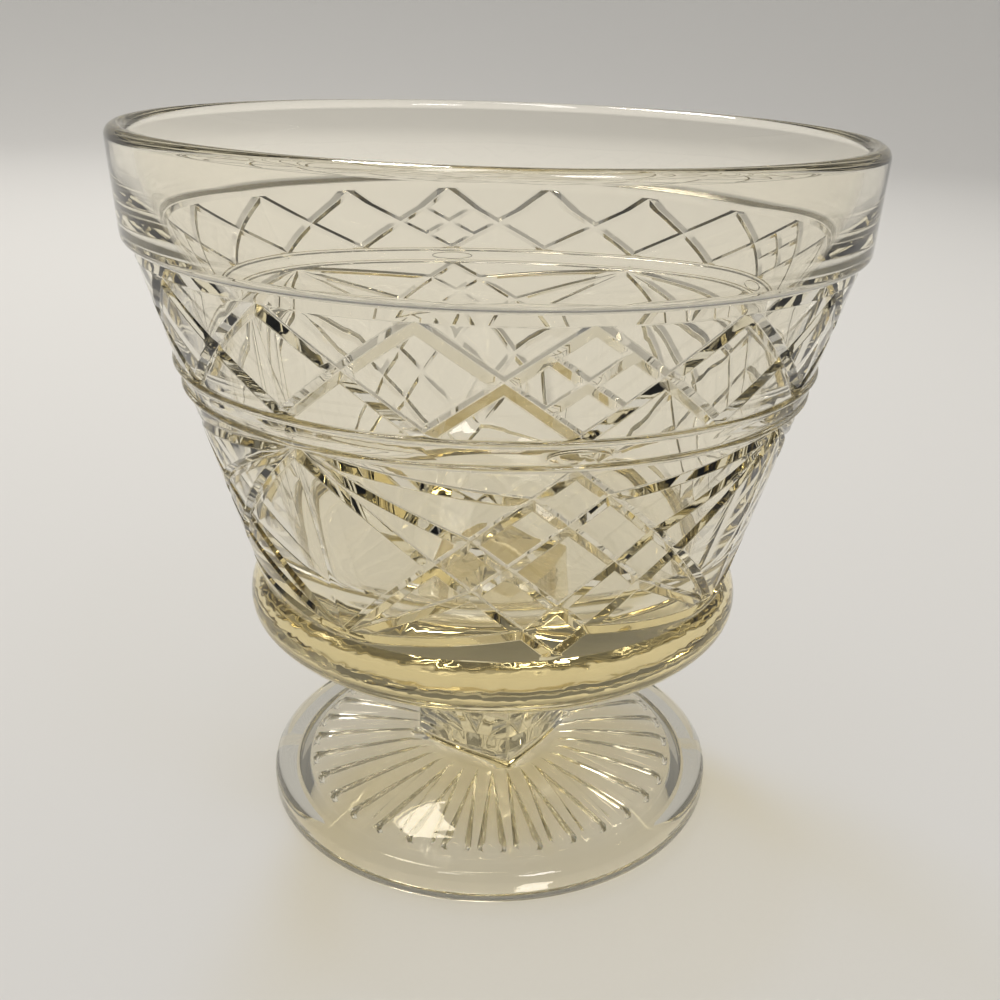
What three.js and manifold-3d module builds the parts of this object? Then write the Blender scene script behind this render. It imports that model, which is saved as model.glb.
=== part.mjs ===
// A footed dessert goblet of pressed glass: a flared bowl with a plain rim band,
// on a thick collar, a short square stem and a round foot with rays pressed into its underside.
// Millimetres, +Z up. The goblet stands on z = 0, with its axis on Z.

import * as THREE from "three";
import { mergeVertices } from "three/addons/utils/BufferGeometryUtils.js";
import { ConvexGeometry } from "three/addons/geometries/ConvexGeometry.js";
import Module from "manifold-3d";

// Foot: a rounded edge round a flat resting ring, with a low dome above and a recess below
const FOOT_RADIUS = 31.7;
const FOOT_REST_ROUND = 1.2;
const FOOT_SIDE_HEIGHT = 1.4;
const FOOT_EDGE_ROUND = 1.7;
const REST_RING_WIDTH = 2.4;
const RECESS_EDGE_WIDTH = 1.6;
const RECESS_EDGE_HEIGHT = 1.4;
const RECESS_CROWN_RISE = 2;
const FOOT_BORDER_RISE = 0.3;
const FOOT_DOME_RISE = 2.3;
const PLINTH_HEIGHT = 0.5;
const PLINTH_MARGIN = 0.7;

// Rays pressed into the underside of the foot
const RAYS = 32;
const RAY_INNER_RADIUS = 11;
const RAY_INNER_WIDTH = 1.9;
const RAY_WIDTH = 4.4;
const RAY_POINT_LENGTH = 1.9;
const RAY_BORDER = 0.5;
const RAY_DEPTH = 1.3;

// Square stem, whose sides bow out a little
const STEM_HEIGHT = 19.1;
const STEM_CORNER_RADIUS = 10.9;
const STEM_SIDE_BOW = 0.6;

// Collar: the thick ring under the bowl, dished below towards the stem
const COLLAR_OVERHANG = 1.4;
const COLLAR_SHOULDER_HEIGHT = 3.9;
const COLLAR_LOWER_ROUND = 3.6;
const COLLAR_DISH_DEPTH = 1.3;
const COLLAR_SEAT_MARGIN = 1.9;

// Bowl, outside, from its foot up
const BOWL_BASE_RADIUS = 32;
const BASE_EDGE_HEIGHT = 0.7;
const LOWER_FRIEZE_HEIGHT = 25.3;
const WAIST_RIB_HEIGHT = 0.9;
const WAIST_RIB_DEPTH = 0.5;
const WAIST_BELT_HEIGHT = 2.2;
const UPPER_FRIEZE_HEIGHT = 12.2;
const NECK_HEIGHT = 1.6;
const RIM_BAND_HEIGHT = 12.9;
const RIM_BAND_STEP = 1.6;
const RIM_BAND_EDGE_ROUND = 1.1;
const RIM_BAND_FLARE = 0.6;
const RIM_RADIUS = 46.3;

// Bowl, inside. The wall is steep behind the rim band, and flares from a soft knee down.
const LIP_THICKNESS = 2.6;
const KNEE_DROP = 9.4;
const KNEE_INSET = 3.2;
const KNEE_ROUND = 45;
const BASE_WALL = 4.2;
const FLOOR_THICKNESS = 2.6;
const FLOOR_FILLET = 9;

// Cut pattern of the bowl. It repeats every quarter turn, in line with the corners of the stem,
// and the counts are those of the diamonds in a quarter.
const PATTERN_TURN = 12;
const QUARTER = 90;
const UPPER_DIAMONDS = 4;
const LOWER_DIAMONDS = 2;
const CUT_HALF_WIDTH = 1.2;
const CUT_DEPTH = 0.75;
const FINE_CUT_HALF_WIDTH = 0.85;
const FINE_CUT_DEPTH = 0.5;
const CLUSTER_SHARES = [0.28, 0.72];
const CUTTER_MARGIN = 0.3;

// Raised ornaments of the waist: an oval pad over each cluster, and long lozenges between them
const ORNAMENT_RISE = 0.4;
const ORNAMENT_SEAT = 0.3;
const PAD_LENGTH = 7;
const PAD_TOP_SHARE = 0.8;
const LOZENGE_LENGTH = 32;
const LOZENGE_TAPER = 0.98;

// Smoothness
const ROUND_SIDES = 48;
const ARC_STEPS = 3;
const STEM_SIDE_STEPS = 6;
const PAD_SIDES = 12;

// Radii that follow from the sizes above
const REST_RING_OUTER = FOOT_RADIUS - FOOT_REST_ROUND;
const REST_RING_INNER = REST_RING_OUTER - REST_RING_WIDTH;
const RECESS_RADIUS = REST_RING_INNER - RECESS_EDGE_WIDTH;
const RAY_OUTER_RADIUS = RECESS_RADIUS - RAY_BORDER;
const RAY_SHOULDER_RADIUS = RAY_OUTER_RADIUS - RAY_POINT_LENGTH;
const PLINTH_CORNER_RADIUS = STEM_CORNER_RADIUS + PLINTH_MARGIN;
const COLLAR_RADIUS = BOWL_BASE_RADIUS + COLLAR_OVERHANG;
const STEM_SEAT_RADIUS = STEM_CORNER_RADIUS + COLLAR_SEAT_MARGIN;
const RIM_BAND_FOOT_RADIUS = RIM_RADIUS - RIM_BAND_FLARE;
const NECK_RADIUS = RIM_BAND_FOOT_RADIUS - RIM_BAND_STEP;

// Heights above the table that follow from the sizes above
const FOOT_EDGE_Z = FOOT_REST_ROUND + FOOT_SIDE_HEIGHT + FOOT_EDGE_ROUND;
const DOME_Z = FOOT_EDGE_Z + FOOT_BORDER_RISE + FOOT_DOME_RISE;
const STEM_Z = DOME_Z + PLINTH_HEIGHT;
const COLLAR_Z = STEM_Z + STEM_HEIGHT;
const COLLAR_WIDEST_Z = COLLAR_Z + COLLAR_DISH_DEPTH + COLLAR_LOWER_ROUND;
const BOWL_Z = COLLAR_WIDEST_Z + COLLAR_SHOULDER_HEIGHT;
const LOWER_FRIEZE_Z = BOWL_Z + BASE_EDGE_HEIGHT;
const WAIST_Z = LOWER_FRIEZE_Z + LOWER_FRIEZE_HEIGHT;
const BELT_Z = WAIST_Z + WAIST_RIB_HEIGHT;
const UPPER_RIB_Z = BELT_Z + WAIST_BELT_HEIGHT;
const UPPER_FRIEZE_Z = UPPER_RIB_Z + WAIST_RIB_HEIGHT;
const NECK_Z = UPPER_FRIEZE_Z + UPPER_FRIEZE_HEIGHT;
const RIM_BAND_Z = NECK_Z + NECK_HEIGHT;
const RIM_Z = RIM_BAND_Z + RIM_BAND_HEIGHT;

const wasm = await Module();
wasm.setup();

// Clear glass with the faint straw tint of old pressed ware.
const glass = new THREE.MeshStandardMaterial({
  color: 0xf1ecd2,
  roughness: 0.04,
  metalness: 0,
  transparent: true,
  opacity: 0.35,
});

// A point of a profile: its radius from the axis, and its height.
const at = (radius, height) => new THREE.Vector2(radius, height);

// Points round a centre, between two angles in degrees.
function arc(centre, radius, from, to) {
  const points = [];
  for (let step = 0; step <= ARC_STEPS; step++) {
    const angle = THREE.MathUtils.degToRad(from + ((to - from) * step) / ARC_STEPS);
    points.push(at(centre.x + radius * Math.cos(angle), centre.y + radius * Math.sin(angle)));
  }
  return points;
}

// The corner between two straight runs, rounded with a radius.
function fillet(before, corner, after, radius) {
  const into = corner.clone().sub(before).normalize();
  const out = after.clone().sub(corner).normalize();
  const turn = Math.atan2(into.cross(out), into.dot(out));
  const start = corner.clone().addScaledVector(into, -radius * Math.tan(Math.abs(turn) / 2));
  const centre = start.clone().addScaledVector(at(-into.y, into.x), Math.sign(turn) * radius);
  const first = THREE.MathUtils.radToDeg(Math.atan2(start.y - centre.y, start.x - centre.x));
  return arc(centre, radius, first, first + THREE.MathUtils.radToDeg(turn));
}

// A closed geometry as a solid that can be cut and joined.
function solid(geometry) {
  geometry.deleteAttribute("normal");
  geometry.deleteAttribute("uv");
  const merged = mergeVertices(geometry);
  const corners = merged.index.array;
  const triangles = [];
  for (let i = 0; i < corners.length; i += 3) {
    const [a, b, c] = corners.slice(i, i + 3);
    if (a !== b && b !== c && c !== a) {
      triangles.push(a, b, c);
    }
  }
  return new wasm.Manifold(new wasm.Mesh({
    numProp: 3,
    vertProperties: merged.attributes.position.array,
    triVerts: new Uint32Array(triangles),
  }));
}

// A profile turned round the Z axis. It runs from the axis up the outside and back to the axis.
function turned(points) {
  return solid(new THREE.LatheGeometry(points, ROUND_SIDES).rotateX(Math.PI / 2));
}

// An upright square prism with bowed sides.
function squarePrism(cornerRadius, foot, top) {
  const outline = new THREE.Shape();
  const control = cornerRadius * Math.SQRT1_2 + 2 * STEM_SIDE_BOW;
  outline.moveTo(cornerRadius, 0);
  for (let corner = 1; corner <= 4; corner++) {
    const end = (corner * Math.PI) / 2;
    const middle = end - Math.PI / 4;
    outline.quadraticCurveTo(
      control * Math.cos(middle),
      control * Math.sin(middle),
      cornerRadius * Math.cos(end),
      cornerRadius * Math.sin(end),
    );
  }
  const settings = { depth: top - foot, bevelEnabled: false, curveSegments: STEM_SIDE_STEPS };
  return solid(new THREE.ExtrudeGeometry(outline, settings).translate(0, 0, foot));
}

// A finished sub-part, as a named mesh with a glass material of its own.
function part(name, body) {
  const { vertProperties, triVerts } = body.getMesh();
  const geometry = new THREE.BufferGeometry();
  geometry.setAttribute("position", new THREE.BufferAttribute(vertProperties, 3));
  geometry.setIndex(new THREE.BufferAttribute(triVerts, 1));
  geometry.computeVertexNormals();
  const mesh = new THREE.Mesh(geometry, glass.clone());
  mesh.name = name;
  return mesh;
}

// Height of the underside of the foot at a radius, inside the resting ring.
function recessHeight(radius) {
  const share = (RECESS_RADIUS - radius) / (RECESS_RADIUS - RAY_INNER_RADIUS);
  return RECESS_EDGE_HEIGHT + share * RECESS_CROWN_RISE;
}

// One ray, as the form that presses it: it widens outwards and ends in an arrow point,
// and it is as deep as RAY_DEPTH along its ridge.
function rayCutter() {
  const halfWidths = [
    [RAY_INNER_RADIUS, RAY_INNER_WIDTH / 2],
    [RAY_SHOULDER_RADIUS, RAY_WIDTH / 2],
    [RAY_OUTER_RADIUS, 0],
  ];
  const corners = [];
  for (const [radius, half] of halfWidths) {
    for (const side of [-half, half]) {
      corners.push(new THREE.Vector3(radius, side, recessHeight(radius)));
      corners.push(new THREE.Vector3(radius, side, -RAY_DEPTH));
    }
  }
  for (const radius of [RAY_INNER_RADIUS + RAY_DEPTH, RAY_SHOULDER_RADIUS]) {
    corners.push(new THREE.Vector3(radius, 0, recessHeight(radius) + RAY_DEPTH));
  }
  return solid(new ConvexGeometry(corners));
}

// Foot: the domed disc with the square plinth on top and the rays cut out of its underside.
function foot() {
  const restCentre = at(REST_RING_OUTER, FOOT_REST_ROUND);
  const edgeCentre = at(FOOT_RADIUS - FOOT_EDGE_ROUND, FOOT_EDGE_Z - FOOT_EDGE_ROUND);
  const crown = recessHeight(RAY_INNER_RADIUS);
  const disc = turned([
    at(0, crown),
    at(RAY_INNER_RADIUS, crown),
    at(RECESS_RADIUS, RECESS_EDGE_HEIGHT),
    at(REST_RING_INNER, 0),
    ...arc(restCentre, FOOT_REST_ROUND, -90, 0),
    ...arc(edgeCentre, FOOT_EDGE_ROUND, 0, 90),
    at(RECESS_RADIUS, FOOT_EDGE_Z + FOOT_BORDER_RISE),
    at(PLINTH_CORNER_RADIUS, DOME_Z),
    at(0, DOME_Z),
  ]);
  const rays = [];
  for (let i = 0; i < RAYS; i++) {
    rays.push(rayCutter().rotate([0, 0, (i * 360) / RAYS]));
  }
  const plinth = squarePrism(PLINTH_CORNER_RADIUS, FOOT_EDGE_Z, STEM_Z);
  return disc.add(plinth).subtract(wasm.Manifold.union(rays));
}

// Stem: it stands on the plinth and carries the collar.
function stem() {
  return squarePrism(STEM_CORNER_RADIUS, STEM_Z, COLLAR_Z);
}

// Collar: its shoulder is a flatter arc, which ends at the edge of the bowl.
function collar() {
  const shoulder = (COLLAR_OVERHANG ** 2 + COLLAR_SHOULDER_HEIGHT ** 2) / (2 * COLLAR_OVERHANG);
  const shoulderEnd = THREE.MathUtils.radToDeg(Math.asin(COLLAR_SHOULDER_HEIGHT / shoulder));
  const lowerCentre = at(COLLAR_RADIUS - COLLAR_LOWER_ROUND, COLLAR_WIDEST_Z);
  return turned([
    at(0, COLLAR_Z),
    at(STEM_SEAT_RADIUS, COLLAR_Z),
    ...arc(lowerCentre, COLLAR_LOWER_ROUND, -90, 0),
    ...arc(at(COLLAR_RADIUS - shoulder, COLLAR_WIDEST_Z), shoulder, 0, shoulderEnd).slice(1, -1),
    at(BOWL_BASE_RADIUS, BOWL_Z),
    at(0, BOWL_Z),
  ]);
}

// Outside radius, at a height, of the straight flare that carries both friezes.
function flareRadius(height) {
  return THREE.MathUtils.mapLinear(height, BOWL_Z, NECK_Z, BOWL_BASE_RADIUS, NECK_RADIUS);
}

// A rib round the waist, in profile, from its foot to its top.
function ribProfile(foot) {
  const profile = [at(flareRadius(foot), foot)];
  for (const height of [foot + WAIST_RIB_HEIGHT / 4, foot + (WAIST_RIB_HEIGHT * 3) / 4]) {
    profile.push(at(flareRadius(height) + WAIST_RIB_DEPTH, height));
  }
  profile.push(at(flareRadius(foot + WAIST_RIB_HEIGHT), foot + WAIST_RIB_HEIGHT));
  return profile;
}

// A place on the flare, by its turn round the axis in degrees and its height.
const place = (turn, height) => ({ turn, height });

// A place between two others, or past them where the share is below 0 or above 1.
function between(from, to, share) {
  const turn = THREE.MathUtils.lerp(from.turn, to.turn, share);
  return place(turn, THREE.MathUtils.lerp(from.height, to.height, share));
}

// The point at a place, as far out from the surface of the flare as asked.
function onFlare({ turn, height }, out = 0) {
  const angle = THREE.MathUtils.degToRad(turn);
  return new THREE.Vector3(Math.cos(angle), Math.sin(angle), 0)
    .multiplyScalar(flareRadius(height))
    .setZ(height)
    .addScaledVector(outward(turn), out);
}

// The direction straight out of the flare, at a turn round the axis.
function outward(turn) {
  const angle = THREE.MathUtils.degToRad(turn);
  const slope = (NECK_RADIUS - BOWL_BASE_RADIUS) / (NECK_Z - BOWL_Z);
  return new THREE.Vector3(Math.cos(angle), Math.sin(angle), -slope).normalize();
}

// A bar of three-cornered section along a line on the flare, with a section at each edge of the
// turned surface. Its base lies as far out as base and its ridge as far out as ridge, so that
// it's a cutter with the ridge inside the glass, and an ornament with the ridge outside.
// The share of the way along sets how much taper leaves of its width and of the ridge.
function bar(from, to, { half, base, ridge, taper = () => 1 }) {
  const facet = 360 / ROUND_SIDES;
  const [low, high] = [from.turn, to.turn].sort((a, b) => a - b);
  const shares = [0, 1];
  for (let edge = Math.floor(low / facet) + 1; edge * facet < high; edge++) {
    shares.push((edge * facet - from.turn) / (to.turn - from.turn));
  }
  const reach = Math.sign(ridge - base) * half;
  const positions = [];
  for (const share of shares.sort((a, b) => a - b)) {
    const spot = between(from, to, share);
    const ahead = onFlare(between(from, to, share + 0.01)).sub(onFlare(spot)).normalize();
    const left = outward(spot.turn).cross(ahead).multiplyScalar(reach * taper(share));
    positions.push(...onFlare(spot, base).add(left));
    positions.push(...onFlare(spot, base).sub(left));
    positions.push(...onFlare(spot, ridge * taper(share)));
  }
  const last = positions.length / 3 - 3;
  const triangles = [0, 1, 2, last, last + 2, last + 1];
  for (let start = 0; start < last; start += 3) {
    for (const [corner, next] of [[0, 1], [1, 2], [2, 0]]) {
      triangles.push(start + corner, start + 3 + corner, start + next);
      triangles.push(start + next, start + 3 + corner, start + 3 + next);
    }
  }
  const geometry = new THREE.BufferGeometry();
  geometry.setAttribute("position", new THREE.Float32BufferAttribute(positions, 3));
  geometry.setIndex(triangles);
  return solid(geometry);
}

// One V-shaped cut, as the form that makes it.
function cut(from, to, halfWidth, depth) {
  const half = halfWidth * (1 + CUTTER_MARGIN / depth);
  return bar(from, to, { half, base: CUTTER_MARGIN, ridge: -depth });
}

// Crossing cuts from border to border of a frieze, which leave a row of diamonds.
function diamondCuts({ foot, top }, pitch) {
  const cuts = [];
  const past = CUT_HALF_WIDTH / (top - foot);
  for (let turn = 0; turn < 360; turn += pitch) {
    for (const end of [turn - pitch, turn + pitch]) {
      const [from, to] = [place(turn, top), place(end, foot)];
      cuts.push(cut(between(from, to, -past), between(from, to, 1 + past), CUT_HALF_WIDTH, CUT_DEPTH));
    }
  }
  return cuts;
}

// Finer cuts across the diamond at a turn, parallel to its sides, at shares of the side.
function crossCuts({ foot, top }, pitch, turn, shares) {
  const cuts = [];
  for (const side of [-pitch / 2, pitch / 2]) {
    const near = place(turn - side, (foot + top) / 2);
    const far = place(turn + side, (foot + top) / 2);
    for (const share of shares) {
      const from = between(place(turn, top), near, share);
      const to = between(far, place(turn, foot), share);
      cuts.push(cut(from, to, FINE_CUT_HALF_WIDTH, FINE_CUT_DEPTH));
    }
  }
  return cuts;
}

// Cuts that fan out from the diamonds' ends beside a cluster to the ends of its cross cuts.
function fanCuts({ foot, top }, pitch, turn, shares) {
  const cuts = [];
  for (const border of [foot, top]) {
    for (const side of [-pitch, pitch]) {
      for (const share of shares) {
        const from = place(turn + side, border);
        const to = between(place(turn, border), place(turn + side / 2, (foot + top) / 2), share);
        const past = CUT_HALF_WIDTH / Math.abs(to.height - border);
        cuts.push(cut(between(from, to, -past), to, FINE_CUT_HALF_WIDTH, FINE_CUT_DEPTH));
      }
    }
  }
  return cuts;
}

// All the cuts of a frieze, trimmed to its borders.
function trimmed({ foot, top }, cuts) {
  const reach = 2 * CUT_DEPTH;
  const ring = turned([
    at(flareRadius(foot) - reach, foot),
    at(flareRadius(foot) + reach, foot),
    at(flareRadius(top) + reach, top),
    at(flareRadius(top) - reach, top),
    at(flareRadius(foot) - reach, foot),
  ]);
  return wasm.Manifold.union(cuts).intersect(ring);
}

// Upper frieze: a row of diamonds, with each one over a cluster cut in four.
function upperFrieze() {
  const zone = { foot: UPPER_FRIEZE_Z, top: NECK_Z };
  const pitch = QUARTER / UPPER_DIAMONDS;
  const cuts = diamondCuts(zone, pitch);
  for (let turn = 0; turn < 360; turn += QUARTER) {
    cuts.push(...crossCuts(zone, pitch, turn, [0.5]));
  }
  return trimmed(zone, cuts);
}

// Lower frieze: tall diamonds, with every other one cut in nine as a cluster between fans.
function lowerFrieze() {
  const zone = { foot: LOWER_FRIEZE_Z, top: WAIST_Z };
  const pitch = QUARTER / LOWER_DIAMONDS;
  const cuts = diamondCuts(zone, pitch);
  for (let turn = 0; turn < 360; turn += QUARTER) {
    cuts.push(...crossCuts(zone, pitch, turn, CLUSTER_SHARES));
    cuts.push(...fanCuts(zone, pitch, turn, CLUSTER_SHARES));
  }
  return trimmed(zone, cuts);
}

// A flat oval pad on the belt, with a sloping edge.
function pad(turn) {
  const middle = BELT_Z + WAIST_BELT_HEIGHT / 2;
  const halfTurn = THREE.MathUtils.radToDeg(PAD_LENGTH / 2 / flareRadius(middle));
  const corners = [];
  for (let side = 0; side < PAD_SIDES; side++) {
    const angle = (side * 2 * Math.PI) / PAD_SIDES;
    for (const [size, out] of [[1, -ORNAMENT_SEAT], [1, 0], [PAD_TOP_SHARE, ORNAMENT_RISE]]) {
      const across = size * halfTurn * Math.cos(angle);
      const up = (size * WAIST_BELT_HEIGHT * Math.sin(angle)) / 2;
      corners.push(onFlare(place(turn + across, middle + up), out));
    }
  }
  return solid(new ConvexGeometry(corners));
}

// A long lozenge on the belt, which runs out to a point at each end.
function lozenge(turn) {
  const middle = BELT_Z + WAIST_BELT_HEIGHT / 2;
  const halfTurn = THREE.MathUtils.radToDeg(LOZENGE_LENGTH / 2 / flareRadius(middle));
  return bar(place(turn - halfTurn, middle), place(turn + halfTurn, middle), {
    half: WAIST_BELT_HEIGHT / 2,
    base: -ORNAMENT_SEAT,
    ridge: ORNAMENT_RISE,
    taper: (share) => 1 - LOZENGE_TAPER * Math.abs(2 * share - 1),
  });
}

// The raised ornaments of the waist, pads over the clusters and lozenges between them.
function ornaments() {
  const pieces = [];
  for (let turn = 0; turn < 360; turn += QUARTER) {
    pieces.push(pad(turn), lozenge(turn + QUARTER / 2));
  }
  return wasm.Manifold.union(pieces);
}

// Bowl: the flared wall with its rim band and round lip, hollow down to a rounded floor.
function bowl() {
  const lip = LIP_THICKNESS / 2;
  const lipCentre = at(RIM_RADIUS - lip, RIM_Z - lip);
  const edge = Math.min(RIM_BAND_EDGE_ROUND, RIM_BAND_STEP);
  const wallTop = at(RIM_RADIUS - LIP_THICKNESS, RIM_Z - lip);
  const knee = at(RIM_RADIUS - KNEE_INSET, RIM_Z - KNEE_DROP);
  const wallFoot = at(BOWL_BASE_RADIUS - BASE_WALL, BOWL_Z + FLOOR_THICKNESS);
  const floorCentre = at(0, BOWL_Z + FLOOR_THICKNESS);
  const body = turned([
    at(0, BOWL_Z),
    at(BOWL_BASE_RADIUS, BOWL_Z),
    ...ribProfile(WAIST_Z),
    ...ribProfile(UPPER_RIB_Z),
    at(NECK_RADIUS, NECK_Z),
    at(NECK_RADIUS, RIM_BAND_Z),
    ...arc(at(RIM_BAND_FOOT_RADIUS - edge, RIM_BAND_Z + edge), edge, -90, 0),
    ...arc(lipCentre, lip, 0, 90),
    ...arc(lipCentre, lip, 90, 180).slice(1),
    ...fillet(wallTop, knee, wallFoot, KNEE_ROUND),
    ...fillet(knee, wallFoot, floorCentre, FLOOR_FILLET),
    floorCentre,
  ]);
  return body.subtract(upperFrieze()).subtract(lowerFrieze()).add(ornaments());
}

const goblet = new THREE.Group();
goblet.rotation.z = THREE.MathUtils.degToRad(PATTERN_TURN);
goblet.add(part("foot", foot()), part("stem", stem()), part("collar", collar()), part("bowl", bowl()));

export default goblet;
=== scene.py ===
import math

import bmesh
import bpy
from mathutils import Matrix, Vector


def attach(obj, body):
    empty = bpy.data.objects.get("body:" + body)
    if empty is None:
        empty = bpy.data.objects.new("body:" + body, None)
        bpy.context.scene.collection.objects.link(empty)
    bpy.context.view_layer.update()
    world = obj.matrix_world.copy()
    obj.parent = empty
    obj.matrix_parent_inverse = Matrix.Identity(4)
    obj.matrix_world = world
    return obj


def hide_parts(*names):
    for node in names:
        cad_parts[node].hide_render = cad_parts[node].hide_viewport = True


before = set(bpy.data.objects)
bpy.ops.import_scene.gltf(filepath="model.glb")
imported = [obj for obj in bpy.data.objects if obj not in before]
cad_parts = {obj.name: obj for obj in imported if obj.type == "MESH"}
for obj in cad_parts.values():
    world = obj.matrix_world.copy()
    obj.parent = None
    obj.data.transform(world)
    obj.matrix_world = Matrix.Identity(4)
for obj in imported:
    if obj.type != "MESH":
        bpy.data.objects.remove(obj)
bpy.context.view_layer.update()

# Foot: a round disc of clear pressed glass with a low domed top and a square plinth in its
# middle. It stands on a narrow flat ring, and the hollow inside that ring has rays pressed
# into it, which show through the dome. Sizes are in millimetres up to the finished mesh.
METRES = 0.001
STATIONS = 128
PATTERN_TURN = math.radians(12)
MERGE = 0.002

FOOT_RADIUS = 31.7
FOOT_REST_ROUND = 1.2
FOOT_EDGE_ROUND = 1.7
FOOT_EDGE_Z = 4.3
REST_RING_INNER = 28.1
REST_ROUND = 0.9
RECESS_RADIUS = 26.5
RECESS_EDGE_HEIGHT = 1.4
RECESS_CROWN_RISE = 2
FOOT_BORDER_RISE = 0.3
DOME_Z = 6.9
DOME_BOW = 0.35
PLINTH_Z = 7.4
PLINTH_CORNER_RADIUS = 11.6
PLINTH_DRAFT = 1.012
PLINTH_SKIRT_RADIUS = 12.6
STEM_CORNER_RADIUS = 10.9
STEM_SIDE_BOW = 0.6
STEM_CORNER_ROUND = 0.35
STEM_CORNER_STEPS = 3
STEM_SIDE_CUTS = 7

RAYS = 32
RECESS_FLAT_RADIUS = 11
RAY_TIP_RADIUS = 9.5
RAY_OUTER_RADIUS = 26
RAY_HALF_WIDTH = 1.95
RAY_DEPTH = 1.3
RAY_END_SIDES = 8
RAY_RINGS = ((0.12, 0.5), (0.2, 0.8), (0.25, 0.95), (0.22, 1))
TILE_MARGIN = 0.2

ARC_STEPS = 8
GLASS_IOR = 1.52
GLASS_ROUGHNESS = 0
GLASS_TINT = (0.982, 0.965, 0.915, 1)
BODY_COLOUR = (0.88, 0.72, 0.1, 1)
BODY_DENSITY = 14
LAMP_LIGHT_LEFT = (0.985, 0.982, 0.975, 1)
RIPPLES_PER_METRE = 90
WRINKLES_PER_METRE = 560
WRINKLE_FLATTENING = 3.2
WRINKLE_DISTORTION = 0.3
RIPPLE = 0.04
FUSED = "Fused"
NEAR_MIDDLE = 1


def arc(centre, radius, start, end, steps=ARC_STEPS):
    """Points of a profile round a centre, between two angles in degrees."""
    points = []
    for step in range(steps + 1):
        angle = math.radians(start + (end - start) * step / steps)
        points.append((centre[0] + radius * math.cos(angle), centre[1] + radius * math.sin(angle)))
    return points


def bowed(start, end, sag, steps=ARC_STEPS):
    """Points of a profile from start to end, pushed up by sag in the middle."""
    points = []
    for step in range(steps + 1):
        share = step / steps
        rise = 4 * sag * share * (1 - share)
        points.append((
            start[0] + (end[0] - start[0]) * share,
            start[1] + (end[1] - start[1]) * share + rise,
        ))
    return points


def fillet(before, corner, after, radius, steps=ARC_STEPS):
    """The corner between two straight runs of a profile, rounded with a radius."""
    before, corner, after = Vector(before), Vector(corner), Vector(after)
    into, out = (corner - before).normalized(), (after - corner).normalized()
    turn = math.atan2(into.x * out.y - into.y * out.x, into.dot(out))
    start = corner - into * radius * math.tan(abs(turn) / 2)
    centre = start + Vector((-into.y, into.x)) * math.copysign(radius, turn)
    first = math.degrees(math.atan2(start.y - centre.y, start.x - centre.x))
    return arc(centre, radius, first, first + math.degrees(turn), steps)


def turn_profile(bm, profile):
    """Adds the surface that a profile of (radius, height) points leaves when turned round Z."""
    points = [bm.verts.new((radius, 0, height)) for radius, height in profile]
    edges = [bm.edges.new(pair) for pair in zip(points, points[1:])]
    bmesh.ops.spin(
        bm, geom=points + edges, cent=(0, 0, 0), axis=(0, 0, 1), dvec=(0, 0, 0),
        angle=2 * math.pi, steps=STATIONS, use_merge=True, use_duplicate=False,
    )


def score(bm, start, end, where=lambda face: True):
    """Splits the faces that where picks, along the line through two points of a tile. A
    tile is a flat part of the pattern, before it takes its place on the goblet."""
    faces = [face for face in bm.faces if where(face)]
    edges = dict.fromkeys(edge for face in faces for edge in face.edges)
    points = dict.fromkeys(point for face in faces for point in face.verts)
    bmesh.ops.bisect_plane(
        bm, geom=[*faces, *edges, *points], dist=MERGE,
        plane_co=(start[0], start[1], 0),
        plane_no=(end[1] - start[1], start[0] - end[0], 0),
    )


def holding(point):
    """Picks the face of a tile that a point lies in."""
    return lambda face: bmesh.geometry.intersect_face_point(face, (*point, 0))


def whittle(bm, middle, outline, closed=True):
    """Cuts the face that holds the middle down to a convex outline, or along an open run
    of it."""
    ends = outline[1:] + outline[:1] if closed else outline[1:]
    for start, end in zip(outline, ends):
        score(bm, start, end, holding(middle))


def repeat(bm, count):
    """Repeats a wrapped tile round Z."""
    bmesh.ops.spin(
        bm, geom=[*bm.verts, *bm.edges, *bm.faces], cent=(0, 0, 0), axis=(0, 0, 1),
        dvec=(0, 0, 0), angle=2 * math.pi, steps=count, use_merge=False, use_duplicate=True,
    )
    bmesh.ops.remove_doubles(bm, verts=bm.verts, dist=MERGE)


def join(bm, other):
    """Moves the faces of another mesh into this one."""
    held = bpy.data.meshes.new("held")
    other.to_mesh(held)
    other.free()
    bm.from_mesh(held)
    bpy.data.meshes.remove(held)


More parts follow.
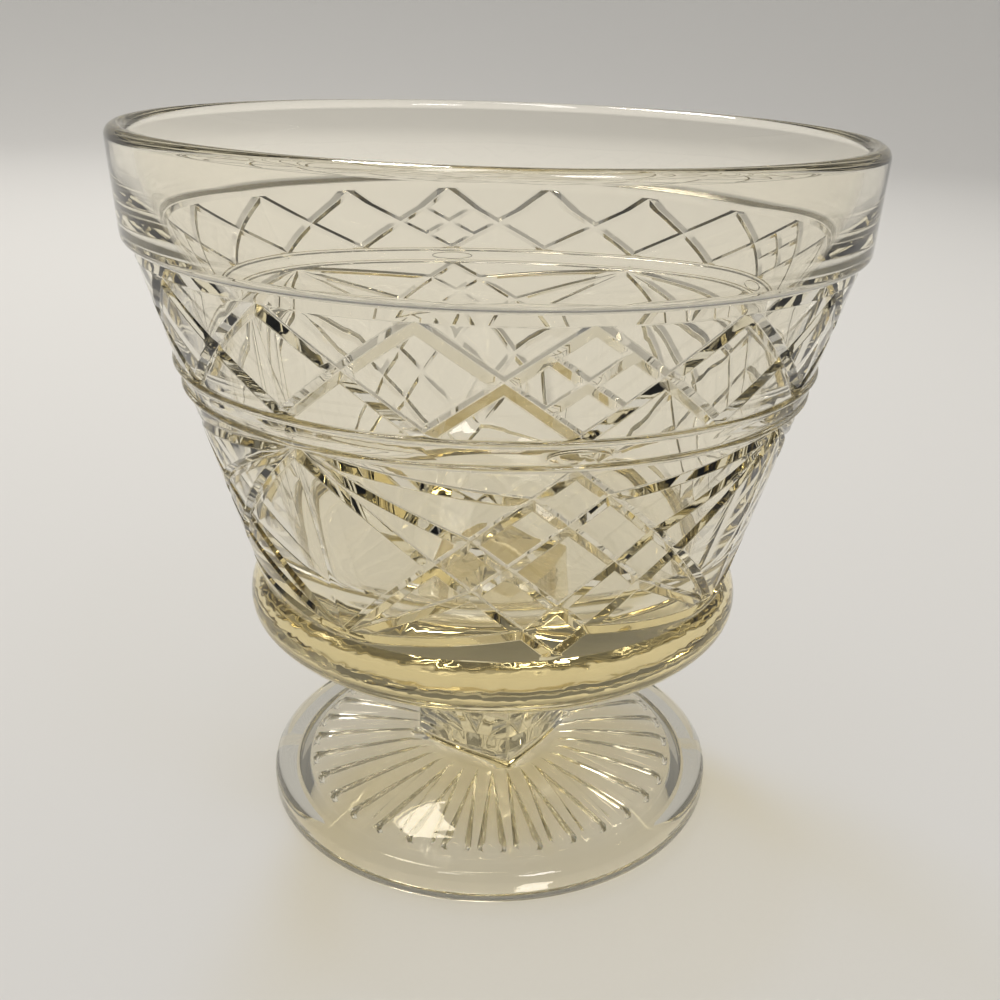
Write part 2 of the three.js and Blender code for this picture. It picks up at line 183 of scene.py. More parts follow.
def stem_outline(bm, corner_radius, height):
    """The face of the square stem at a height, with bowed sides and its corners in line
    with the pattern of the bowl."""
    corners = bmesh.ops.create_circle(bm, segments=4, radius=corner_radius)["verts"]
    places = [corner.co.copy() for corner in corners]
    sides = dict.fromkeys(edge for corner in corners for edge in corner.link_edges)
    split = bmesh.ops.subdivide_edges(bm, edges=list(sides), cuts=STEM_SIDE_CUTS)
    points = dict.fromkeys(
        item for item in split["geom"] + split["geom_inner"]
        if isinstance(item, bmesh.types.BMVert))
    half_side = corner_radius * math.sqrt(0.5)
    for point in points:
        out = Vector((math.copysign(1, point.co.x), math.copysign(1, point.co.y), 0)).normalized()
        along = (point.co - out * half_side).length / half_side
        if along < 1 - MERGE:
            point.co += out * STEM_SIDE_BOW * (1 - along ** 2)
    edges = dict.fromkeys(edge for point in points for edge in point.link_edges)
    face = bmesh.ops.contextual_create(bm, geom=list(edges))["faces"][0]
    sharp = [point for point in face.verts
             if any((point.co - place).length < MERGE for place in places)]
    bmesh.ops.bevel(
        bm, geom=sharp, offset=STEM_CORNER_ROUND, offset_type="OFFSET", segments=STEM_CORNER_STEPS,
        profile=0.5, affect="VERTICES", clamp_overlap=True, material=-1,
    )
    face = next(face for face in bm.faces if len(face.verts) > 4 * STEM_SIDE_CUTS
                and abs(face.calc_center_median().z) < MERGE
                and face.calc_center_median().length < NEAR_MIDDLE)
    bmesh.ops.translate(bm, vec=(0, 0, height), verts=face.verts)
    return face


def widen(bm, edges, scale, lift):
    """Extrudes an outline, scales the new outline and lifts it. Returns its edges."""
    made = bmesh.ops.extrude_edge_only(bm, edges=edges)["geom"]
    points = [item for item in made if isinstance(item, bmesh.types.BMVert)]
    ring = set(points)
    bmesh.ops.scale(bm, vec=(scale, scale, 1), verts=points)
    bmesh.ops.translate(bm, vec=(0, 0, lift), verts=points)
    return [item for item in made if isinstance(item, bmesh.types.BMEdge)
            and item.verts[0] in ring and item.verts[1] in ring]


def circle_edges(bm, radius, height):
    """The edges of the turned circle at a radius and a height."""
    def on_circle(point):
        return abs(point.co.xy.length - radius) < MERGE and abs(point.co.z - height) < MERGE
    return [edge for edge in bm.edges if all(on_circle(point) for point in edge.verts)]


def pressed_surface_group():
    """Node group: heights for the slow ripple and the fine chill wrinkles of pressed glass."""
    group = bpy.data.node_groups.new("Pressed surface", "ShaderNodeTree")
    group.interface.new_socket("Ripple", in_out="INPUT", socket_type="NodeSocketFloat")
    group.interface.new_socket("Wrinkles", in_out="INPUT", socket_type="NodeSocketFloat")
    group.interface.new_socket("Height", in_out="OUTPUT", socket_type="NodeSocketFloat")
    nodes, links = group.nodes, group.links
    inputs = nodes.new("NodeGroupInput")
    outputs = nodes.new("NodeGroupOutput")
    place = nodes.new("ShaderNodeTexCoord")
    ripple = nodes.new("ShaderNodeTexNoise")
    ripple.inputs["Scale"].default_value = RIPPLES_PER_METRE
    ripple.inputs["Detail"].default_value = 0
    stretch = nodes.new("ShaderNodeMapping")
    stretch.inputs["Scale"].default_value = (1, 1, WRINKLE_FLATTENING)
    wrinkles = nodes.new("ShaderNodeTexNoise")
    wrinkles.inputs["Scale"].default_value = WRINKLES_PER_METRE
    wrinkles.inputs["Detail"].default_value = 0
    wrinkles.inputs["Distortion"].default_value = WRINKLE_DISTORTION
    slow = nodes.new("ShaderNodeMath")
    slow.operation = "MULTIPLY"
    both = nodes.new("ShaderNodeMath")
    both.operation = "MULTIPLY_ADD"
    links.new(place.outputs["Object"], ripple.inputs["Vector"])
    links.new(place.outputs["Object"], stretch.inputs["Vector"])
    links.new(stretch.outputs["Vector"], wrinkles.inputs["Vector"])
    links.new(ripple.outputs["Fac"], slow.inputs[0])
    links.new(inputs.outputs["Ripple"], slow.inputs[1])
    links.new(wrinkles.outputs["Fac"], both.inputs[0])
    links.new(inputs.outputs["Wrinkles"], both.inputs[1])
    links.new(slow.outputs[0], both.inputs[2])
    links.new(both.outputs[0], outputs.inputs["Height"])
    return group


PRESSED_SURFACE = pressed_surface_group()


def press(nodes, links, shader, ripple, wrinkles):
    """Gives a glass shader its uneven surface, from heights in millimetres."""
    surface = nodes.new("ShaderNodeGroup")
    surface.node_tree = PRESSED_SURFACE
    surface.inputs["Ripple"].default_value = ripple
    surface.inputs["Wrinkles"].default_value = wrinkles
    bump = nodes.new("ShaderNodeBump")
    bump.inputs["Distance"].default_value = METRES
    links.new(surface.outputs["Height"], bump.inputs["Height"])
    links.new(bump.outputs["Normal"], shader.inputs["Normal"])


def let_lamps_through(nodes, links, shader):
    """Lets the lamps shine through a glass shader, so that it throws a light shadow."""
    clear = nodes.new("ShaderNodeBsdfTransparent")
    clear.inputs["Color"].default_value = LAMP_LIGHT_LEFT
    path = nodes.new("ShaderNodeLightPath")
    mix = nodes.new("ShaderNodeMixShader")
    links.new(path.outputs["Is Shadow Ray"], mix.inputs["Fac"])
    links.new(shader.outputs["BSDF"], mix.inputs[1])
    links.new(clear.outputs["BSDF"], mix.inputs[2])
    links.new(mix.outputs["Shader"], nodes["Material Output"].inputs["Surface"])


def hide_fused_faces(nodes, links, shader):
    """Makes the faces unseen where two forms are fused into one glass."""
    fused = nodes.new("ShaderNodeAttribute")
    fused.attribute_name = FUSED
    seen = nodes.new("ShaderNodeMath")
    seen.operation = "SUBTRACT"
    seen.inputs[0].default_value = 1
    links.new(fused.outputs["Fac"], seen.inputs[1])
    links.new(seen.outputs[0], shader.inputs["Alpha"])


def glass(name, ripple, wrinkles):
    """Clear pressed glass with a straw tint that deepens with its thickness."""
    material = bpy.data.materials.new(name)
    material.use_nodes = True
    nodes, links = material.node_tree.nodes, material.node_tree.links
    shader = nodes["Principled BSDF"]
    shader.inputs["Base Color"].default_value = GLASS_TINT
    shader.inputs["Roughness"].default_value = GLASS_ROUGHNESS
    shader.inputs["IOR"].default_value = GLASS_IOR
    shader.inputs["Transmission Weight"].default_value = 1
    body = nodes.new("ShaderNodeVolumeAbsorption")
    body.inputs["Color"].default_value = BODY_COLOUR
    body.inputs["Density"].default_value = BODY_DENSITY
    links.new(body.outputs["Volume"], nodes["Material Output"].inputs["Volume"])
    press(nodes, links, shader, ripple, wrinkles)
    hide_fused_faces(nodes, links, shader)
    let_lamps_through(nodes, links, shader)
    return material


def glass_piece(name, bm, material, fused_heights, node):
    """Finishes a mesh in millimetres as a smooth piece in metres, turned with the pattern,
    that stands for a node. Each fused height comes with a radius: the level faces there
    whose middles lie within it meet the next form, and are marked as fused."""
    bmesh.ops.remove_doubles(bm, verts=bm.verts, dist=MERGE)
    bmesh.ops.recalc_face_normals(bm, faces=bm.faces)
    fused = bm.faces.layers.float.new(FUSED)
    for face in bm.faces:
        face.smooth = True
        for height, reach in fused_heights:
            level = all(abs(point.co.z - height) < MERGE for point in face.verts)
            if level and face.calc_center_median().xy.length < reach:
                face[fused] = 1
    for edge in bm.edges:
        kinds = {face[fused] for face in edge.link_faces}
        edge.smooth = len(kinds) == 1
    bmesh.ops.rotate(bm, cent=(0, 0, 0), verts=bm.verts,
                     matrix=Matrix.Rotation(PATTERN_TURN, 3, "Z"))
    bmesh.ops.scale(bm, vec=(METRES, METRES, METRES), verts=bm.verts)
    mesh = bpy.data.meshes.new(name)
    bm.to_mesh(mesh)
    bm.free()
    piece = bpy.data.objects.new(name, mesh)
    bpy.context.scene.collection.objects.link(piece)
    mesh.materials.append(material)
    normals = piece.modifiers.new("Facet normals", "WEIGHTED_NORMAL")
    normals.mode = "FACE_AREA_WITH_ANGLE"
    normals.keep_sharp = True
    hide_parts(node)
    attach(piece, "root")


def recess_height(radius):
    """Height of the hollow under the foot at a radius."""
    share = min(1, (RECESS_RADIUS - radius) / (RECESS_RADIUS - RECESS_FLAT_RADIUS))
    return RECESS_EDGE_HEIGHT + share * RECESS_CROWN_RISE


def hollow_sector():
    """One of the like sectors of the hollow, flat, with a single face for its ray."""
    bm = bmesh.new()
    radii = (
        RAY_TIP_RADIUS - 2 * TILE_MARGIN, RAY_TIP_RADIUS - TILE_MARGIN,
        RECESS_RADIUS - TILE_MARGIN, RECESS_RADIUS)
    points = [bm.verts.new((radius, 0, 0)) for radius in radii]
    edges = [bm.edges.new(pair) for pair in zip(points, points[1:])]
    bmesh.ops.spin(
        bm, geom=points + edges, cent=(0, 0, 0), axis=(0, 0, 1), dvec=(0, 0, 0),
        angle=2 * math.pi / RAYS, steps=STATIONS // RAYS, use_merge=False, use_duplicate=False)
    bmesh.ops.rotate(bm, cent=(0, 0, 0), verts=bm.verts,
                     matrix=Matrix.Rotation(-math.pi / RAYS, 3, "Z"))
    middle = [face for face in bm.faces
              if abs(face.calc_center_median().x - sum(radii[1:3]) / 2) < NEAR_MIDDLE]
    bmesh.ops.dissolve_faces(bm, faces=middle)
    return bm


def pressed_ray():
    """A sector with its ray, a scoop that is round at its wide outer end."""
    bm = hollow_sector()
    end_centre = RAY_OUTER_RADIUS - RAY_HALF_WIDTH
    outer_end = arc((end_centre, 0), RAY_HALF_WIDTH, -90, 90, RAY_END_SIDES)
    tip, middle = (RAY_TIP_RADIUS, 0), (end_centre, 0)
    whittle(bm, middle, [tip, outer_end[0]], closed=False)
    whittle(bm, middle, [outer_end[-1], tip], closed=False)
    whittle(bm, middle, outer_end, closed=False)
    scoop = [face for face in bm.faces if holding(middle)(face)]
    for width, depth in RAY_RINGS:
        bmesh.ops.inset_individual(
            bm, faces=scoop, thickness=width * RAY_HALF_WIDTH, depth=0, use_even_offset=True,
            use_interpolate=False, use_relative_offset=False)
        for point in scoop[0].verts:
            point.co.z = RAY_DEPTH * depth
    for point in bm.verts:
        point.co.z += recess_height(point.co.xy.length)
    return bm


sector = pressed_ray()
repeat(sector, RAYS)

foot_mesh = bmesh.new()
turn_profile(foot_mesh, [
    (0, recess_height(0)),
    (RAY_TIP_RADIUS - 2 * TILE_MARGIN, recess_height(0)),
])
rest_outer = FOOT_RADIUS - FOOT_REST_ROUND
turn_profile(foot_mesh, [
    (RECESS_RADIUS, RECESS_EDGE_HEIGHT),
    *fillet((RECESS_RADIUS, RECESS_EDGE_HEIGHT), (REST_RING_INNER, 0), (rest_outer, 0), REST_ROUND),
    *arc((rest_outer, FOOT_REST_ROUND), FOOT_REST_ROUND, -90, 0),
    *arc((FOOT_RADIUS - FOOT_EDGE_ROUND, FOOT_EDGE_Z - FOOT_EDGE_ROUND), FOOT_EDGE_ROUND, 0, 90),
    *bowed((RECESS_RADIUS, FOOT_EDGE_Z + FOOT_BORDER_RISE), (PLINTH_SKIRT_RADIUS, DOME_Z), DOME_BOW),
])
join(foot_mesh, sector)
bmesh.ops.remove_doubles(foot_mesh, verts=foot_mesh.verts, dist=MERGE)
stand = stem_outline(foot_mesh, STEM_CORNER_RADIUS, PLINTH_Z)
outline = widen(foot_mesh, list(stand.edges), PLINTH_CORNER_RADIUS / STEM_CORNER_RADIUS, 0)
outline = widen(foot_mesh, outline, PLINTH_DRAFT, DOME_Z - PLINTH_Z)
bmesh.ops.bridge_loops(
    foot_mesh, edges=outline + circle_edges(foot_mesh, PLINTH_SKIRT_RADIUS, DOME_Z))
foot_glass = glass("foot glass", ripple=RIPPLE, wrinkles=0)
glass_piece("foot_glass", foot_mesh, foot_glass, [(PLINTH_Z, NEAR_MIDDLE)], "foot")

# Stem: the short square block between the foot and the collar. It is one glass with both,
# and its four corners stand in line with the clusters of the bowl.
STEM_TOP_Z = 26.5
FUSED_GAP = 0.01

stem_mesh = bmesh.new()
base = stem_outline(stem_mesh, STEM_CORNER_RADIUS, PLINTH_Z + FUSED_GAP)
raised = bmesh.ops.extrude_face_region(stem_mesh, geom=[base], use_keep_orig=True)["geom"]
bmesh.ops.translate(
    stem_mesh, vec=(0, 0, STEM_TOP_Z - PLINTH_Z - 2 * FUSED_GAP),
    verts=[item for item in raised if isinstance(item, bmesh.types.BMVert)])
stem_glass = glass("stem glass", ripple=RIPPLE, wrinkles=0)
stem_ends = [(PLINTH_Z + FUSED_GAP, NEAR_MIDDLE), (STEM_TOP_Z - FUSED_GAP, NEAR_MIDDLE)]
glass_piece("stem_glass", stem_mesh, stem_glass, stem_ends, "stem")

# Collar: the thick ring that carries the bowl. The glass gathers here, so it looks yellowest,
# and the mould has left fine chill wrinkles on its rounded edge.
COLLAR_RADIUS = 33.4
COLLAR_WIDEST_Z = 31.4
COLLAR_LOWER_ROUND = 3.6
COLLAR_OVERHANG = 1.4
COLLAR_SEAT_RADIUS = 12.8
BOWL_Z = 35.3
BOWL_BASE_RADIUS = 32
COLLAR_RIPPLE = 0.02
COLLAR_WRINKLES = 0.016

shoulder_height = BOWL_Z - COLLAR_WIDEST_Z
shoulder_radius = (COLLAR_OVERHANG ** 2 + shoulder_height ** 2) / (2 * COLLAR_OVERHANG)
shoulder_end = math.degrees(math.asin(shoulder_height / shoulder_radius))
collar_mesh = bmesh.new()
turn_profile(collar_mesh, [
    (COLLAR_SEAT_RADIUS, STEM_TOP_Z),
    *arc((COLLAR_RADIUS - COLLAR_LOWER_ROUND, COLLAR_WIDEST_Z), COLLAR_LOWER_ROUND, -90, 0),
    *arc((COLLAR_RADIUS - shoulder_radius, COLLAR_WIDEST_Z), shoulder_radius, 0, shoulder_end)[1:-1],
    (BOWL_BASE_RADIUS, BOWL_Z),
    (0, BOWL_Z),
])
seat = stem_outline(collar_mesh, STEM_CORNER_RADIUS, STEM_TOP_Z)
bmesh.ops.bridge_loops(
    collar_mesh,
    edges=list(seat.edges) + circle_edges(collar_mesh, COLLAR_SEAT_RADIUS, STEM_TOP_Z))
collar_glass = glass("collar glass", ripple=COLLAR_RIPPLE, wrinkles=COLLAR_WRINKLES)
collar_faces = [(BOWL_Z, BOWL_BASE_RADIUS), (STEM_TOP_Z, NEAR_MIDDLE)]
glass_piece("collar_glass", collar_mesh, collar_glass, collar_faces, "collar")

# Bowl: the flared, hollow body with its plain rim band and round lip. Two friezes of
# diamonds are pressed into it, with a belt of pads and lozenges between two ribs.
LOWER_FRIEZE_Z = 36
WAIST_Z = 61.3
BELT_Z = 62.2
UPPER_RIB_Z = 64.4
UPPER_FRIEZE_Z = 65.3
NECK_Z = 77.5
NECK_RADIUS = 44.1
NECK_ROUND = 0.4
RIM_BAND_Z = 79.1
RIM_BAND_FOOT_RADIUS = 45.6
RIM_BAND_EDGE_ROUND = 1.1
RIM_RADIUS = 46.2
RIM_Z = 92
LIP_THICKNESS = 2.6
KNEE_DROP = 9.4
KNEE_INSET = 3.2
KNEE_ROUND = 45
BASE_WALL = 4.2
FLOOR_Z = 37.9
FLOOR_FILLET = 9
WAIST_RIB_DEPTH = 0.5
SEAM_HALF_WIDTH = 0.18
SEAM_RISE = 0.09
QUARTER = 90
HALF_QUARTER_STATIONS = STATIONS // 8
BOWL_RIPPLE = 0.07


def flare_radius(height):
    """Outside radius of the straight flare that carries both friezes."""
    share = (height - BOWL_Z) / (NECK_Z - BOWL_Z)
    return BOWL_BASE_RADIUS + share * (NECK_RADIUS - BOWL_BASE_RADIUS)


FLARE_SLOPE = math.atan((NECK_RADIUS - BOWL_BASE_RADIUS) / (NECK_Z - BOWL_Z))


def rib(foot, top):
    """Profile of a round rib on the flare."""
    points = []
    for step in range(ARC_STEPS + 1):
        angle = math.pi * step / ARC_STEPS
        height = (foot + top) / 2 - (top - foot) / 2 * math.cos(angle)
        points.append((flare_radius(height) + WAIST_RIB_DEPTH * math.sin(angle), height))
    return points


def wrap_on_flare(bm, per_degree):
    """Bends a flat tile round the flare, with its Z out of the glass."""
    for point in bm.verts:
        turn = math.radians(point.co.x / per_degree)
        radius = flare_radius(point.co.y) + point.co.z * math.cos(FLARE_SLOPE)
        height = point.co.y - point.co.z * math.sin(FLARE_SLOPE)
        point.co = Vector((radius * math.cos(turn), radius * math.sin(turn), height))


def trim(bm, place, outward):
    """Cuts off what lies past a line of a tile."""
    bmesh.ops.bisect_plane(
        bm, geom=[*bm.verts, *bm.edges, *bm.faces], dist=MERGE, clear_outer=True,
        plane_co=(*place, 0), plane_no=(*outward, 0))


def raise_seam(bm, foot, top, per_degree):
    """Lifts the ends of a quarter into the fine ridge that is left where two parts of the
    mould met."""
    seam = QUARTER / 2 * per_degree
    for side in (-1, 1):
        near = side * (seam - SEAM_HALF_WIDTH)
        score(bm, (near, 0), (near, 1),
              lambda face: foot < face.calc_center_median().y < top)
    for point in bm.verts:
        if abs(point.co.x) > seam - MERGE and foot + MERGE < point.co.y < top - MERGE:
            point.co.z += SEAM_RISE


def score_stations(bm, per_station, count):
    """Splits a tile at the stations that the turned surfaces have."""
    for station in range(-count + 1, count):
        score(bm, (station * per_station, 0), (station * per_station, 1))


def finish_quarter(bm, foot, top, per_degree):
    """Trims a tile to its borders and to a quarter turn, and splits it at the stations. A
    narrow strip then leads from each border to the stations of the turned surface beside it.
    The quarter is bent round the bowl and repeated."""
    station = per_degree * 360 / STATIONS
    trim(bm, (0, foot), (0, -1))
    trim(bm, (0, top), (0, 1))
    for side in (-1, 1):
        trim(bm, (side * QUARTER / 2 * per_degree, 0), (side, 0))
    score_stations(bm, station, HALF_QUARTER_STATIONS)
    raise_seam(bm, foot, top, per_degree)
    for border, shift in ((foot, -TILE_MARGIN), (top, TILE_MARGIN)):
        edges = [edge for edge in bm.edges
                 if all(abs(point.co.y - border) < MERGE for point in edge.verts)]
        made = bmesh.ops.extrude_edge_only(bm, edges=edges)["geom"]
        for point in made:
            if isinstance(point, bmesh.types.BMVert):
                point.co = (round(point.co.x / station) * station, border + shift, 0)
    bmesh.ops.remove_doubles(bm, verts=bm.verts, dist=MERGE)
    wrap_on_flare(bm, per_degree)
    repeat(bm, 4)


# Friezes: the cuts are V-shaped grooves along the sides of every diamond. The diamond over
# each corner of the stem is cut finer, and below the waist fans of cuts run out to it.
CUT_HALF_WIDTH = 0.9
CUT_DEPTH = 0.65
FINE_CUT_HALF_WIDTH = 0.75
FINE_CUT_DEPTH = 0.5
LOWER_DIAMONDS = 2
LOWER_CLUSTER_SHARES = (0.28, 0.72)
UPPER_DIAMONDS = 4
UPPER_CLUSTER_SHARES = (0.5,)
GROOVE_RINGS = ((0.1, 0.94), (0.76, 0.1), (0.22, 0))


def between(start, end, share):
    """A point of a tile between two others."""
    return (start[0] + (end[0] - start[0]) * share, start[1] + (end[1] - start[1]) * share)


def groove(bm, faces, half_width):
    """Slopes the sides of the faces down to the cuts round them, in three rings: the narrow
    floor of a cut, its flank and the rounded edge of the facet."""
    for thickness, depth_left in GROOVE_RINGS:
        outside = set(bm.verts)
        bmesh.ops.inset_individual(
            bm, faces=faces, thickness=half_width * thickness, use_even_offset=True)
        for point in bm.verts:
            if point not in outside:
                outer = next(edge.other_vert(point) for edge in point.link_edges
                             if edge.other_vert(point) in outside)
                point.co.z = outer.co.z * depth_left


def frieze(foot, top, diamonds, shares, fans):
    """One quarter of a frieze, with a cluster in its middle. The diamonds run on past both
    borders until they are trimmed."""
    pitch = QUARTER / diamonds
    per_degree = math.radians(flare_radius((foot + top) / 2))
    step = pitch * per_degree
    mid, tall = (foot + top) / 2, top - foot
    bm = bmesh.new()
    bmesh.ops.create_grid(bm, x_segments=1, y_segments=1, size=1)
    bmesh.ops.scale(bm, vec=(QUARTER / 2 * per_degree + step / 2, tall, 1), verts=bm.verts)
    bmesh.ops.translate(bm, vec=(0, mid, 0), verts=bm.verts)

    def counts(place):
        """How many main cuts lie below a place, on its way up from the left and the right."""
        rise = (place.y - foot) / tall
        return rise + place.x / step, rise - place.x / step

    def cell(face):
        """The diamond that a face lies in."""
        return tuple(math.floor(count) for count in counts(face.calc_center_median()))

    for n in range(-diamonds, diamonds + 1):
        for side in (-1, 1):
            score(bm, (n * step, top), ((n + side) * step, foot))
    fine = {(0, 0)}
    for side in (-1, 1):
        for share in shares:
            start = between((0, top), (-side * step / 2, mid), share)
            end = between((side * step / 2, mid), (0, foot), share)
            score(bm, start, end, lambda face: cell(face) == (0, 0))
    if fans:
        for border, beside in ((top, (1, 0)), (foot, (0, -1))):
            for side in (-1, 1):
                diamond = beside if side == 1 else beside[::-1]
                fine.add(diamond)
                for share in shares:
                    end = between((0, border), (side * step / 2, mid), share)
                    score(bm, (side * step, border), end, lambda face: cell(face) == diamond)
    for point in bm.verts:
        main = any(abs(count - round(count)) < MERGE for count in counts(point.co))
        point.co.z = -CUT_DEPTH if main else -FINE_CUT_DEPTH
    fine_faces = [face for face in bm.faces if cell(face) in fine]
    plain_faces = [face for face in bm.faces if cell(face) not in fine]
    groove(bm, fine_faces, FINE_CUT_HALF_WIDTH)
    groove(bm, plain_faces, CUT_HALF_WIDTH)
    finish_quarter(bm, foot, top, per_degree)
    return bm


# Belt: a flat band between the two ribs of the waist. It bears an oval pad with a small
# dimple over each cluster, and a long lozenge, which rises to its middle, in between.
ORNAMENT_RISE = 0.4
PAD_HALF_LENGTH = 3.5
PAD_SIDES = 24
PAD_EDGE = ((0.07, 0.24), (0.07, 0.37), (0.07, 0.4))
PAD_ROOM = 3
ORNAMENT_FIT = 0.98
DIMPLE_OFFSET = 0.9
DIMPLE_RADIUS = 0.42
DIMPLE_SIDES = 12
DIMPLE_EDGE = ((0.1, 0.25), (0.14, 0.1))
LOZENGE_HALF_LENGTH = 16
LOZENGE_ROOM = 9


def oval(centre, half_length, half_height, sides):
    """Outline of an oval on a tile."""
    outline = []
    for side in range(sides):
        angle = 2 * math.pi * side / sides
        outline.append((
            centre[0] + half_length * math.cos(angle),
            centre[1] + half_height * math.sin(angle),
        ))
    return outline


def find(bm, point):
    """The face of a tile that holds a point."""
    return next(face for face in bm.faces if holding(point)(face))


def terrace(bm, face, steps):
    """Insets a face step by step and sets the height of each new outline."""
    for thickness, height in steps:
        outside = set(bm.verts)
        bmesh.ops.inset_individual(bm, faces=[face], thickness=thickness, use_even_offset=True)
        for point in bm.verts:
            if point not in outside:
                point.co.z = height


def tile(half_width, foot, top):
    """A flat rectangle with a narrow margin along its foot and its top. X runs round the
    goblet, Y along the profile and Z out of the glass."""
    bm = bmesh.new()
    bmesh.ops.create_grid(bm, x_segments=1, y_segments=1, size=1)
    size = (half_width, (top - foot) / 2 + TILE_MARGIN, 1)
    bmesh.ops.scale(bm, vec=size, verts=bm.verts)
    bmesh.ops.translate(bm, vec=(0, (foot + top) / 2, 0), verts=bm.verts)
    for edge in (foot, top):
        score(bm, (0, edge), (1, edge))
    return bm


def belt():
    """One quarter of the belt."""
    mid = (BELT_Z + UPPER_RIB_Z) / 2
    per_degree = math.radians(flare_radius(mid))
    station = per_degree * 360 / STATIONS
    corner = HALF_QUARTER_STATIONS
    half_height = (UPPER_RIB_Z - BELT_Z) / 2 - TILE_MARGIN
    bm = tile((corner + LOZENGE_ROOM) * station, mid - half_height, mid + half_height)
    for edge in (PAD_ROOM, corner - LOZENGE_ROOM):
        for side in (-1, 1):
            score(bm, (side * edge * station, 0), (side * edge * station, 1))
    for side in (-1, 1):
        middle = (side * corner * station, mid)
        whittle(bm, middle, oval(middle, LOZENGE_HALF_LENGTH, half_height * ORNAMENT_FIT, 4))
        peak = bmesh.ops.poke(bm, faces=[find(bm, middle)])["verts"][0]
        peak.co.z = ORNAMENT_RISE
    whittle(bm, (0, mid), oval((0, mid), PAD_HALF_LENGTH, half_height * ORNAMENT_FIT, PAD_SIDES))
    terrace(bm, find(bm, (0, mid)), PAD_EDGE)
    dimple = (DIMPLE_OFFSET, mid)
    whittle(bm, dimple, oval(dimple, DIMPLE_RADIUS, DIMPLE_RADIUS, DIMPLE_SIDES))
    terrace(bm, find(bm, dimple), DIMPLE_EDGE)
    for side in (-1, 1):
        trim(bm, (side * QUARTER / 2 * per_degree, 0), (side, 0))
    score_stations(bm, station, corner)
    raise_seam(bm, mid - half_height, mid + half_height, per_degree)
    wrap_on_flare(bm, per_degree)
    repeat(bm, 4)
    return bm


bowl_mesh = bmesh.new()
lower_frieze = frieze(LOWER_FRIEZE_Z, WAIST_Z, LOWER_DIAMONDS, LOWER_CLUSTER_SHARES, fans=True)
upper_frieze = frieze(UPPER_FRIEZE_Z, NECK_Z, UPPER_DIAMONDS, UPPER_CLUSTER_SHARES, fans=False)
join(bowl_mesh, lower_frieze)
join(bowl_mesh, upper_frieze)
join(bowl_mesh, belt())

lip = LIP_THICKNESS / 2
lip_centre = (RIM_RADIUS - lip, RIM_Z - lip)
wall_top = (RIM_RADIUS - LIP_THICKNESS, RIM_Z - lip)
knee = (RIM_RADIUS - KNEE_INSET, RIM_Z - KNEE_DROP)
wall_foot = (BOWL_BASE_RADIUS - BASE_WALL, FLOOR_Z)
turn_profile(bowl_mesh, [
    (0, BOWL_Z + FUSED_GAP),
    (BOWL_BASE_RADIUS, BOWL_Z + FUSED_GAP),
    (flare_radius(LOWER_FRIEZE_Z - TILE_MARGIN), LOWER_FRIEZE_Z - TILE_MARGIN),
])
turn_profile(bowl_mesh, rib(WAIST_Z + TILE_MARGIN, BELT_Z))
turn_profile(bowl_mesh, rib(UPPER_RIB_Z, UPPER_FRIEZE_Z - TILE_MARGIN))
turn_profile(bowl_mesh, [
    (flare_radius(NECK_Z + TILE_MARGIN), NECK_Z + TILE_MARGIN),
    *fillet((NECK_RADIUS, NECK_Z), (NECK_RADIUS, RIM_BAND_Z), (RIM_RADIUS, RIM_BAND_Z), NECK_ROUND),
    *arc((RIM_BAND_FOOT_RADIUS - RIM_BAND_EDGE_ROUND, RIM_BAND_Z + RIM_BAND_EDGE_ROUND),
         RIM_BAND_EDGE_ROUND, -90, 0),
    *arc(lip_centre, lip, 0, 90),
    *arc(lip_centre, lip, 90, 180)[1:],
    *fillet(wall_top, knee, wall_foot, KNEE_ROUND),
    *fillet(knee, wall_foot, (0, FLOOR_Z), FLOOR_FILLET, 2 * ARC_STEPS),
    (0, FLOOR_Z),
])
bowl_glass = glass("bowl glass", ripple=BOWL_RIPPLE, wrinkles=0)
bowl_base = [(BOWL_Z + FUSED_GAP, BOWL_BASE_RADIUS)]
glass_piece("bowl_glass", bowl_mesh, bowl_glass, bowl_base, "bowl")

# Floor and lamps: a plain pale floor with soft light from above. The key lamp stands behind
# the goblet, and puts the small highlights on its rim and its foot.
FLOOR_RADIUS = 900
FLOOR_CURVE = 500
FLOOR_CURVE_END = -15
FLOOR_COLOUR = (0.69, 0.685, 0.67, 1)
FLOOR_ROUGHNESS = 0.9
LAMPS_AIM = (0, 0, 0.05)
LAMP_WARM = (1, 0.96, 0.9)
LAMP_WHITE = (1, 0.98, 0.95)
STUDIO_TONES = ((0.47, 0.5), (0.6, 0.24), (0.85, 0.14))


def pale_floor():
    """A round floor that curves up into a low wall, so that it's pale from every side."""
    bm = bmesh.new()
    turn_profile(bm, [
        (0, 0),
        *arc((FLOOR_RADIUS, FLOOR_CURVE), FLOOR_CURVE, -90, FLOOR_CURVE_END, 4 * ARC_STEPS),
    ])
    bmesh.ops.remove_doubles(bm, verts=bm.verts, dist=MERGE)
    for face in bm.faces:
        face.smooth = True
    bmesh.ops.scale(bm, vec=(METRES, METRES, METRES), verts=bm.verts)
    mesh = bpy.data.meshes.new("floor")
    bm.to_mesh(mesh)
    bm.free()
    floor = bpy.data.objects.new("floor", mesh)
    bpy.context.scene.collection.objects.link(floor)
    material = bpy.data.materials.new("floor")
    material.use_nodes = True
    shader = material.node_tree.nodes["Principled BSDF"]
    shader.inputs["Base Color"].default_value = FLOOR_COLOUR
    shader.inputs["Roughness"].default_value = FLOOR_ROUGHNESS
    mesh.materials.append(material)


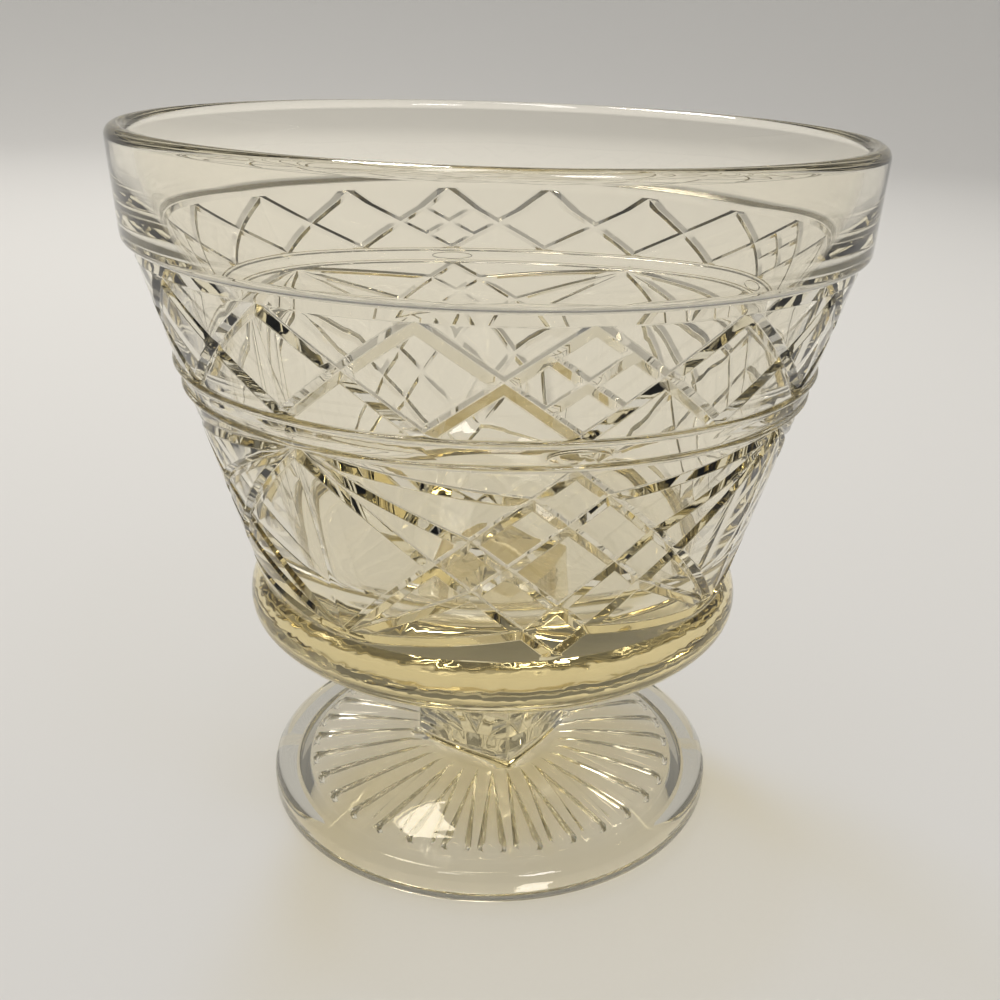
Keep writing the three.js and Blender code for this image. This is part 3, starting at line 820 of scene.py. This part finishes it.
def area_lamp(name, place, size, power, colour):
    """A soft box, of a width and a height, that faces the goblet."""
    data = bpy.data.lights.new(name, "AREA")
    data.shape = "RECTANGLE"
    data.size, data.size_y = size
    data.energy = power
    data.color = colour
    lamp = bpy.data.objects.new(name, data)
    lamp.location = place
    toward = Vector(LAMPS_AIM) - Vector(place)
    lamp.rotation_euler = toward.to_track_quat("-Z", "Y").to_euler()
    bpy.context.scene.collection.objects.link(lamp)


def studio_air():
    """Light all round that is pale at the floor's edge and falls off towards the ceiling."""
    world = bpy.data.worlds.new("studio")
    world.use_nodes = True
    nodes, links = world.node_tree.nodes, world.node_tree.links
    direction = nodes.new("ShaderNodeTexCoord")
    split = nodes.new("ShaderNodeSeparateXYZ")
    height = nodes.new("ShaderNodeMapRange")
    height.inputs["From Min"].default_value = -1
    tones = nodes.new("ShaderNodeValToRGB")
    while len(tones.color_ramp.elements) < len(STUDIO_TONES):
        tones.color_ramp.elements.new(1)
    for element, (place, tone) in zip(tones.color_ramp.elements, STUDIO_TONES):
        element.position = place
        element.color = (tone, tone, tone, 1)
    links.new(direction.outputs["Generated"], split.inputs[0])
    links.new(split.outputs["Z"], height.inputs["Value"])
    links.new(height.outputs["Result"], tones.inputs["Fac"])
    links.new(tones.outputs["Color"], nodes["Background"].inputs["Color"])
    bpy.context.scene.world = world


pale_floor()
area_lamp("key", place=(-0.22, 0.61, 1.0), size=(0.2, 0.2), power=8.5, colour=LAMP_WARM)
area_lamp("fill", place=(0.34, -0.49, 1.04), size=(0.25, 0.25), power=2.5, colour=LAMP_WHITE)
area_lamp("overhead", place=(-0.15, 0.05, 1.3), size=(0.9, 0.16), power=3, colour=LAMP_WHITE)
studio_air()

# Camera: the place and turn of the photograph's, found from the ellipses of the rim, the
# collar and the foot.
CAMERA_PLACE = (0, -0.1513, 0.1038)
CAMERA_YAW = math.radians(2.516)
CAMERA_PITCH = math.radians(21.98)
CAMERA_ROLL = math.radians(2.024)
SENSOR = 36
LENS = 42.62
SHIFT = -0.0445
NEAREST_SEEN = 0.01

ahead = Vector((
    math.sin(CAMERA_YAW) * math.cos(CAMERA_PITCH),
    math.cos(CAMERA_YAW) * math.cos(CAMERA_PITCH),
    -math.sin(CAMERA_PITCH),
))
level = Vector((math.cos(CAMERA_YAW), -math.sin(CAMERA_YAW), 0))
upright = level.cross(ahead)
right = level * math.cos(CAMERA_ROLL) + upright * math.sin(CAMERA_ROLL)
up = upright * math.cos(CAMERA_ROLL) - level * math.sin(CAMERA_ROLL)
camera_data = bpy.data.cameras.new("camera")
camera_data.sensor_width = SENSOR
camera_data.lens = LENS
camera_data.shift_x = SHIFT
camera_data.clip_start = NEAREST_SEEN
camera = bpy.data.objects.new("camera", camera_data)
axes = Matrix((right, up, -ahead)).transposed().to_4x4()
camera.matrix_world = Matrix.Translation(CAMERA_PLACE) @ axes
bpy.context.scene.collection.objects.link(camera)
bpy.context.scene.camera = camera

scene = bpy.context.scene
scene.view_settings.view_transform = "Standard"
scene.cycles.caustics_refractive = False
scene.cycles.caustics_reflective = False
scene.cycles.max_bounces = 20
scene.cycles.transmission_bounces = 20
scene.cycles.glossy_bounces = 8
scene.cycles.transparent_max_bounces = 24

bpy.context.view_layer.update()
